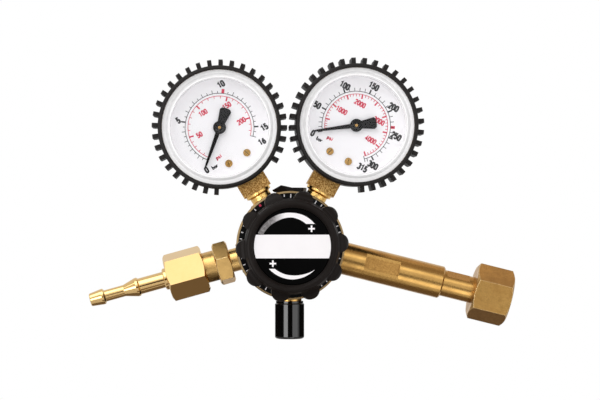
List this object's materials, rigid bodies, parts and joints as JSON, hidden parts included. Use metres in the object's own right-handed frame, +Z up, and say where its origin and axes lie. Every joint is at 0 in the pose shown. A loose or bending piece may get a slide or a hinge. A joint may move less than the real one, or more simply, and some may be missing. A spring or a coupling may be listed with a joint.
{
  "type": "gas cylinder regulator",
  "caption": "Single-stage gas cylinder regulator with two dial gauges in toothed rubber boots, lobed knob, relief valve, hex inlet nut and barbed hose tail.",
  "frame": {"origin": "on the inlet nut's axis, where its thread begins, just in front of the inlet's sealing washer", "axes": "+X from the outlet to the inlet, +Y from the knob to the back, +Z up, with the dials facing -Y"},
  "size_m": [0.2325, 0.0804, 0.1523],
  "materials": {
    "cast_brass": "satin, as forged and blasted",
    "turned_brass": "satin, machined",
    "polished_brass": "polished",
    "black_knob": "satin moulded",
    "gloss_black": "gloss moulded",
    "black_ring": "satin black paint",
    "boot_rubber": "matte moulded rubber",
    "clear_lens": "clear",
    "dial_white": "satin white enamel",
    "pointer_black": "satin black paint",
    "steel": "ground",
    "spring_steel": "drawn wire",
    "gasket": "plain",
    "membrane": "cloth-backed rubber"
  },
  "bodies": {
    "regulator": {"body": "cast_brass", "bonnet": "turned_brass", "scale_ring": "black_ring", "diaphragm": "membrane", "slip_ring": "steel", "nozzle": "turned_brass", "rear_plug": "turned_brass", "rear_plug_seal": "gasket", "inlet_stem": "turned_brass", "inlet_filter": "cast_brass", "inlet_nipple": "turned_brass", "inlet_gasket": "gasket", "outlet_adapter": "polished_brass", "relief_body": "turned_brass", "relief_adjuster": "turned_brass", "relief_cap": "gloss_black", "relief_spring": "spring_steel", "top_plug": "black_knob", "main_spring": "spring_steel", "poppet_spring": "spring_steel", "low_boot": "boot_rubber", "low_case": "turned_brass", "low_lens": "clear_lens", "low_dial": "dial_white", "low_dial_screws": "turned_brass", "low_socket": "cast_brass", "low_tube": "polished_brass", "low_movement": "turned_brass", "high_boot": "boot_rubber", "high_case": "turned_brass", "high_lens": "clear_lens", "high_dial": "dial_white", "high_dial_screws": "turned_brass", "high_socket": "cast_brass", "high_tube": "polished_brass", "high_movement": "turned_brass"},
    "spring_carrier": {"spring_button": "steel", "thrust_ball": "steel"},
    "knob": {"knob": "black_knob", "knob_disc": "gloss_black", "adjusting_screw": "turned_brass"},
    "valve_train": {"pressure_plate": "steel", "valve_pin": "steel", "valve_poppet": "steel"},
    "relief_valve": {"relief_poppet": "steel"},
    "inlet_nut": {"inlet_nut": "turned_brass"},
    "hose_tail": {"hose_tail": "polished_brass"},
    "union_nut": {"union_nut": "polished_brass"},
    "low_pointer": {"low_pointer": "pointer_black", "low_pinion": "turned_brass"},
    "low_sector": {"low_sector": "turned_brass"},
    "low_link": {"low_link": "steel"},
    "high_pointer": {"high_pointer": "pointer_black", "high_pinion": "turned_brass"},
    "high_sector": {"high_sector": "turned_brass"},
    "high_link": {"high_link": "steel"}
  },
  "joints": [
    {"name": "screw_feed", "type": "slide", "parent": "regulator", "child": "spring_carrier", "axis": [0, 1, 0], "range_m": [0, 0.006], "deforming": ["main_spring"]},
    {"name": "knob_turn", "type": "hinge", "parent": "spring_carrier", "child": "knob", "pos_m": [-0.1078, -0.045, 0.02688], "axis": [0, 1, 0], "range_deg": [0, 1440]},
    {"name": "valve_lift", "type": "slide", "parent": "regulator", "child": "valve_train", "axis": [0, 1, 0], "range_m": [0, 0.0008], "stiffness_N_per_m": 1000, "springref_m": -0.001, "deforming": ["poppet_spring", "diaphragm"]},
    {"name": "relief_lift", "type": "slide", "parent": "regulator", "child": "relief_valve", "axis": [0, 0, -1], "range_m": [0, 0.0015], "stiffness_N_per_m": 100, "springref_m": -0.004, "deforming": ["relief_spring"]},
    {"name": "inlet_nut_spin", "type": "hinge", "parent": "regulator", "child": "inlet_nut", "pos_m": [0, 0, 0], "axis": [0.9703, 0, -0.2419], "continuous": true},
    {"name": "hose_tail_draw", "type": "slide", "parent": "regulator", "child": "hose_tail", "axis": [-0.9636, 0, -0.2672], "range_m": [0, 0.00936]},
    {"name": "union_nut_turn", "type": "hinge", "parent": "hose_tail", "child": "union_nut", "pos_m": [-0.16398, 0, 0.0113], "axis": [-0.9636, 0, -0.2672], "range_deg": [0, 2520]},
    {"name": "low_pointer_turn", "type": "hinge", "parent": "regulator", "child": "low_pointer", "pos_m": [-0.14591, 0, 0.09031], "axis": [0, 1, 0], "range_deg": [0, 265], "stiffness_Nm_per_rad": 0.0002, "springref_deg": -28.65},
    {"name": "low_sector_turn", "type": "hinge", "parent": "regulator", "child": "low_sector", "pos_m": [-0.13187, 0, 0.09304], "axis": [0, 1, 0], "range_deg": [-22.5, 0], "deforming": ["low_tube"]},
    {"name": "low_link_swing", "type": "hinge", "parent": "low_sector", "child": "low_link", "pos_m": [-0.12697, 0, 0.09399], "axis": [0, 1, 0], "range_deg": [0, 22.5]},
    {"name": "high_pointer_turn", "type": "hinge", "parent": "regulator", "child": "high_pointer", "pos_m": [-0.07192, 0, 0.0916], "axis": [0, 1, 0], "range_deg": [0, 264], "stiffness_Nm_per_rad": 0.0002, "springref_deg": -28.65},
    {"name": "high_sector_turn", "type": "hinge", "parent": "regulator", "child": "high_sector", "pos_m": [-0.06254, 0, 0.08081], "axis": [0, 1, 0], "range_deg": [-22.5, 0], "deforming": ["high_tube"]},
    {"name": "high_link_swing", "type": "hinge", "parent": "high_sector", "child": "high_link", "pos_m": [-0.05926, 0, 0.07703], "axis": [0, 1, 0], "range_deg": [0, 22.5]}
  ],
  "couplings": [
    {"joint": "knob_turn", "follows": "screw_feed", "rad_per_m": 4188.8},
    {"joint": "union_nut_turn", "follows": "hose_tail_draw", "rad_per_m": 4698.9},
    {"joint": "low_sector_turn", "follows": "low_pointer_turn", "ratio": -0.083333},
    {"joint": "low_link_swing", "follows": "low_pointer_turn", "ratio": 0.083333},
    {"joint": "high_sector_turn", "follows": "high_pointer_turn", "ratio": -0.083333},
    {"joint": "high_link_swing", "follows": "high_pointer_turn", "ratio": 0.083333}
  ]
}
